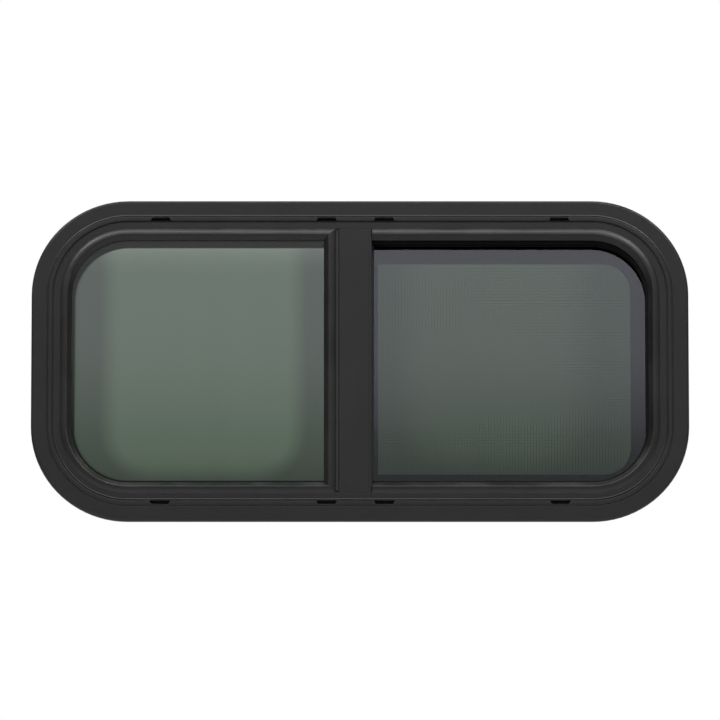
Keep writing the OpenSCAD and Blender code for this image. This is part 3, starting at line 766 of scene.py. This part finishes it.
# %% [markdown]
# ## Insect mesh
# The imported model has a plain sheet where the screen's mesh is. The real mesh is woven from coated
# glass fibre, with every strand passing over one neighbour and under the next. All the strands that
# run one way are grown together: a row of small triangles is extruded by one pitch at a time, and at
# each step every triangle is nudged to the front or to the back. Strands that reach the rounded
# corner simply stop. Every second strand is a little thicker, as in a real weave, which gives the
# faint grid that is seen from far away. Two pieces, one for each way, keep each mesh light. The
# strands have a pale grey coating that is a little uneven along their length. A sheet with holes
# painted on would be lighter, but at a slant it would look as flat as it is.


# %% Finish a new piece
def finish_piece(name, bm, material):
    """Turn a bmesh into a piece that rides on the window."""
    bmesh.ops.recalc_face_normals(bm, faces=bm.faces)
    mesh = bpy.data.meshes.new(name)
    bm.to_mesh(mesh)
    bm.free()
    piece = bpy.data.objects.new(name, mesh)
    scene.collection.objects.link(piece)
    piece.data.materials.append(material)
    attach(piece, "root")
    print(name, "faces:", len(piece.data.polygons))
    return piece


print("piece helper ready")

# %% Coating of the strands
STRAND_DARK, STRAND_PALE = 0.16, 0.24
strand_finish, tree, out = new_material("screen weave")
where = put(tree, "ShaderNodeTexCoord").outputs["Object"]
slub = noise(tree, 260.0, 3.0, Vector=where)
mask = use(tree, dust_and_top_light, {"Amount": 0.25})["Mask"]
colour = tint(tree, spread(tree, slub, 0.35, 0.65), grey(STRAND_DARK, 1.1), grey(STRAND_PALE, 1.1))
# Dust, and painted light on strands that face up
colour = tint(tree, mask, colour, DUST_AND_LIGHT_GREY)
shader = put(tree, "ShaderNodeBsdfPrincipled",
             inputs={"Base Color": colour, "Roughness": spread(tree, slub, 0.3, 0.7, 0.4, 0.6)})
tree.links.new(shader.outputs[0], out.inputs["Surface"])
print(strand_finish.name, "made")

# %% Sizes of the weave
MESH_LOW, MESH_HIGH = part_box("screen_mesh")
PITCH = 1.825 * MM
STRAND_R = 0.27 * MM
UNEVEN = 0.22
SWAY = 0.2 * MM
OPENING_R = 33 * MM
ALONG_X, ALONG_Z = 0, 2
mesh_y = (MESH_LOW[1] + MESH_HIGH[1]) / 2
COUNT = {axis: int((MESH_HIGH[axis] - MESH_LOW[axis]) / PITCH) for axis in (ALONG_X, ALONG_Z)}


def line_at(axis, number):
    """Where the strand, or the crossing, with this number lies on an axis."""
    return MESH_LOW[axis] + (number + 0.5) * PITCH


def corner_cut(into):
    """How much shorter a strand is that lies this far into the opening's rounded corner."""
    if into <= 0:
        return 0.0
    return OPENING_R - math.sqrt(max(OPENING_R ** 2 - into ** 2, 0.0))


print("strands up and across:", COUNT[ALONG_X], COUNT[ALONG_Z])


# %% Grow strands
def grow_strands(name, axis, starts, stops, phase):
    """Grow one strand along an axis from each start to its stop, one ring for each crossing."""
    bm = bmesh.new()
    side = ALONG_X + ALONG_Z - axis
    turn = Matrix.Identity(4) if axis == ALONG_Z else Matrix.Rotation(math.radians(90), 4, "Y")
    tips = {}
    inner = []
    for number, start in starts.items():
        place = Vector((0, mesh_y, 0))
        place[axis], place[side] = start, line_at(side, number)
        thick = STRAND_R * (1 + UNEVEN if number % 2 else 1 - UNEVEN)
        ring = bmesh.ops.create_circle(bm, cap_ends=True, segments=3, radius=thick,
                                       matrix=Matrix.Translation(place) @ turn)
        tips[number] = ring["verts"][0].link_faces[0]
    for step in range(COUNT[axis]):
        line = line_at(axis, step)
        growing = [face for number, face in tips.items() if starts[number] < line <= stops[number]]
        inner += [face for face in growing if len(face.edges[0].link_faces) > 1]
        made = bmesh.ops.extrude_face_region(bm, geom=growing)
        for face in [g for g in made["geom"] if isinstance(g, bmesh.types.BMFace)]:
            middle = face.calc_center_median()
            number = round((middle[side] - line_at(side, 0)) / PITCH)
            front = 1 if (number + step + phase) % 2 else -1
            move = Vector((0, mesh_y + front * SWAY - middle[1], 0))
            move[axis] = line - middle[axis]
            for vert in face.verts:
                vert.co += move
            tips[number] = face
    bmesh.ops.delete(bm, geom=[face for face in inner if face.is_valid], context="FACES_ONLY")
    return finish_piece(name, bm, strand_finish)


print("strand helper ready")

# %% Weave the mesh
low_x, low_z = MESH_LOW[ALONG_X], MESH_LOW[ALONG_Z]
high_x, high_z = MESH_HIGH[ALONG_X], MESH_HIGH[ALONG_Z]
cuts = {n: corner_cut(line_at(ALONG_X, n) - (high_x - OPENING_R)) for n in range(COUNT[ALONG_X])}
warp = grow_strands("mesh_warp", ALONG_Z, {n: low_z + cut for n, cut in cuts.items()},
                    {n: high_z - cut for n, cut in cuts.items()}, 0)
cuts = {}
for n in range(COUNT[ALONG_Z]):
    z = line_at(ALONG_Z, n)
    cuts[n] = corner_cut(max(z - (high_z - OPENING_R), (low_z + OPENING_R) - z))
weft = grow_strands("mesh_weft", ALONG_X, {n: low_x for n in cuts},
                    {n: high_x - cut for n, cut in cuts.items()}, 1)
for strands in (warp, weft):
    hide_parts("screen_mesh")

# %% [markdown]
# ## Screws
# The clamp ring is held by small pan-head screws with a cross recess, spaced evenly round it, and two
# more hold the latch. One head is made from a disc: raised, rounded, then its top is inset and drawn
# into a four-pointed recess. The rest are copies that are turned a little differently each time.
# The face that an extrusion starts from stays behind inside the new shape, so it is deleted. Cutting
# the recess with a Boolean would also work, but it leaves rough edges on so small a thing.


# %% Make one screw head
ROUNDING = 0.75
RIM = 0.12
PIT_NARROW, PIT_LOBE = 0.13, 0.32
PIT_DEPTH, PIT_TAPER = 0.6, 0.55


def screw_head(radius, height):
    """A pan head that stands on the origin and faces up +Z, as a mesh to be copied."""
    bm = bmesh.new()
    bmesh.ops.create_circle(bm, cap_ends=True, segments=32, radius=radius)
    raised = bmesh.ops.extrude_face_region(bm, geom=bm.faces[:])["geom"]
    top = [g for g in raised if isinstance(g, bmesh.types.BMFace)][0]
    bmesh.ops.translate(bm, vec=(0, 0, height), verts=top.verts)
    bmesh.ops.bevel(bm, geom=list(top.edges), offset=height * ROUNDING, segments=5,
                    affect="EDGES", profile=0.5, material=-1)
    top = max((f for f in bm.faces if len(f.verts) == 32), key=lambda f: f.calc_center_median().z)
    bmesh.ops.inset_region(bm, faces=[top], thickness=radius * RIM)
    centre = top.calc_center_median()
    for vert in top.verts:
        arm = vert.co - centre
        lobe = abs(math.cos(2 * math.atan2(arm.y, arm.x)))
        vert.co = centre + arm.normalized() * radius * (PIT_NARROW + PIT_LOBE * lobe ** 3)
    sunk = bmesh.ops.extrude_face_region(bm, geom=[top])["geom"]
    bmesh.ops.delete(bm, geom=[top], context="FACES_ONLY")
    pit = [g for g in sunk if isinstance(g, bmesh.types.BMFace)][0]
    bmesh.ops.translate(bm, vec=(0, 0, -height * PIT_DEPTH), verts=pit.verts)
    bmesh.ops.scale(bm, vec=(PIT_TAPER, PIT_TAPER, 1), verts=pit.verts)
    mesh = bpy.data.meshes.new("screw head")
    bm.to_mesh(mesh)
    bm.free()
    return mesh


CLAMP_SCREW_R, CLAMP_SCREW_H = 3.6 * MM, 1.6 * MM
LATCH_SCREW_R, LATCH_SCREW_H = 2.6 * MM, 1.2 * MM
clamp_head = screw_head(CLAMP_SCREW_R, CLAMP_SCREW_H)
latch_head = screw_head(LATCH_SCREW_R, LATCH_SCREW_H)
print("faces of a head:", len(clamp_head.polygons))


# %% Set a screw
def set_screw(bm, head, place, turn):
    """Copy a head into a bmesh, turned, facing +Y and standing on a place."""
    known = set(bm.verts)
    bm.from_mesh(head)
    spin = Matrix.Rotation(math.radians(-90), 4, "X") @ Matrix.Rotation(turn, 4, "Z")
    bmesh.ops.transform(bm, matrix=Matrix.Translation(place) @ spin,
                        verts=[v for v in bm.verts if v not in known])


print("screw helper ready")


# %% Find a spot on the ring
def spot_on_ring(share, inset):
    """A point a share of the way round the window, inset from the flange's edge."""
    radius = CORNER_R - inset
    straight_x = 2 * (HALF_W - CORNER_R)
    straight_z = 2 * (HALF_H - CORNER_R)
    bend = math.pi / 2 * radius
    run = share * (2 * straight_x + 2 * straight_z + 4 * bend)
    x, z, heading = HALF_W - inset, -straight_z / 2, math.pi / 2
    for length in (straight_z, straight_x, straight_z, straight_x):
        step = min(run, length)
        x += step * math.cos(heading)
        z += step * math.sin(heading)
        run -= step
        if run <= 0:
            break
        turn = min(run, bend) / radius
        x += radius * (math.cos(heading - math.pi / 2 + turn) - math.cos(heading - math.pi / 2))
        z += radius * (math.sin(heading - math.pi / 2 + turn) - math.sin(heading - math.pi / 2))
        heading += turn
        run -= min(run, bend)
        if run <= 0:
            break
    return x, z


print("spot a quarter of the way round:", [round(v, 3) for v in spot_on_ring(0.25, 0.0)])

# %% Place the screws
CLAMP_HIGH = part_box("clamp_ring")[1]
CLAMP_LIP = 1.2 * MM
SCREW_IN = 26 * MM
SCREW_COUNT = 18
SCREW_TURN = 1.3
screw_finish = grained("screw steel", 0.06, 0.32, 0.3 * MM, 0.01 * MM)
bm = bmesh.new()
for number in range(SCREW_COUNT):
    x, z = spot_on_ring((number + 0.5) / SCREW_COUNT, SCREW_IN)
    set_screw(bm, clamp_head, (x, CLAMP_HIGH[1] - CLAMP_LIP, z), number * SCREW_TURN)
finish_piece("clamp_screws", bm, screw_finish)

LATCH_LOW, LATCH_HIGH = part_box("latch_body")
LATCH_IN = 7 * MM
LATCH_TURN = 400
latch_x = (LATCH_LOW[0] + LATCH_HIGH[0]) / 2
bm = bmesh.new()
for end in (LATCH_LOW[2] + LATCH_IN, LATCH_HIGH[2] - LATCH_IN):
    set_screw(bm, latch_head, (latch_x, LATCH_HIGH[1], end), end * LATCH_TURN)
finish_piece("latch_screws", bm, screw_finish)

# %% [markdown]
# ## Lips of the grooves
# Where the extrusion folds into its two grooves, the metal is rolled up a little, and these lips draw
# the fine bright lines round the window. Each has a three-cornered section, with a gentle slope that
# catches the lamps and an upright side at the groove. The section is pulled along the straights and
# spun round the four corners, and welded where it meets its own start. A curve with a bevel profile
# would do as well, but its corners would have to be set out by hand.


# %% Helper for a lip
RIB_RISE = 0.5 * MM
FACE_Y = FRAME_LOW[1] + RIB_RISE
CORNER_STEPS = 40
# Points of each section in millimetres: inset from the flange's edge, and rise over its face
OUTER_LIP = [(17.7, -0.1), (19.0, 0.35), (19.0, -0.3)]
INNER_LIP = [(28.3, -0.1), (27.15, 0.3), (27.15, -0.3)]


def roll_lip(bm, section):
    """Sweep a section once round the window."""
    reach_x, reach_z = HALF_W - CORNER_R, HALF_H - CORNER_R
    outline = bmesh.ops.create_circle(bm, segments=len(section), radius=MM)["verts"]
    rim = list({edge for vert in outline for edge in vert.link_edges})
    for vert, (inset, rise) in zip(outline, section):
        vert.co = (HALF_W - inset * MM, FACE_Y - rise * MM, -reach_z)
    corners = [(reach_x, reach_z), (-reach_x, reach_z), (-reach_x, -reach_z), (reach_x, -reach_z)]
    pulls = [(0, 0, 2 * reach_z), (-2 * reach_x, 0, 0), (0, 0, -2 * reach_z), (2 * reach_x, 0, 0)]
    for (x, z), pull in zip(corners, pulls):
        made = bmesh.ops.extrude_edge_only(bm, edges=rim)["geom"]
        made = [g for g in made if not isinstance(g, bmesh.types.BMFace)]
        moved = [g for g in made if isinstance(g, bmesh.types.BMVert)]
        bmesh.ops.translate(bm, vec=pull, verts=moved)
        last = bmesh.ops.spin(bm, geom=made, cent=(x, FACE_Y, z), axis=(0, -1, 0), steps=CORNER_STEPS,
                              angle=math.radians(90), dvec=(0, 0, 0))["geom_last"]
        rim = [g for g in last if isinstance(g, bmesh.types.BMEdge)]
    bmesh.ops.remove_doubles(bm, verts=bm.verts, dist=0.01 * MM)


print("lips in from the edge, in mm:", OUTER_LIP[0][0], INNER_LIP[0][0])

# %% Roll the lips
bm = bmesh.new()
for section in (OUTER_LIP, INNER_LIP):
    roll_lip(bm, section)
finish_piece("groove_lips", bm, lip_paint)
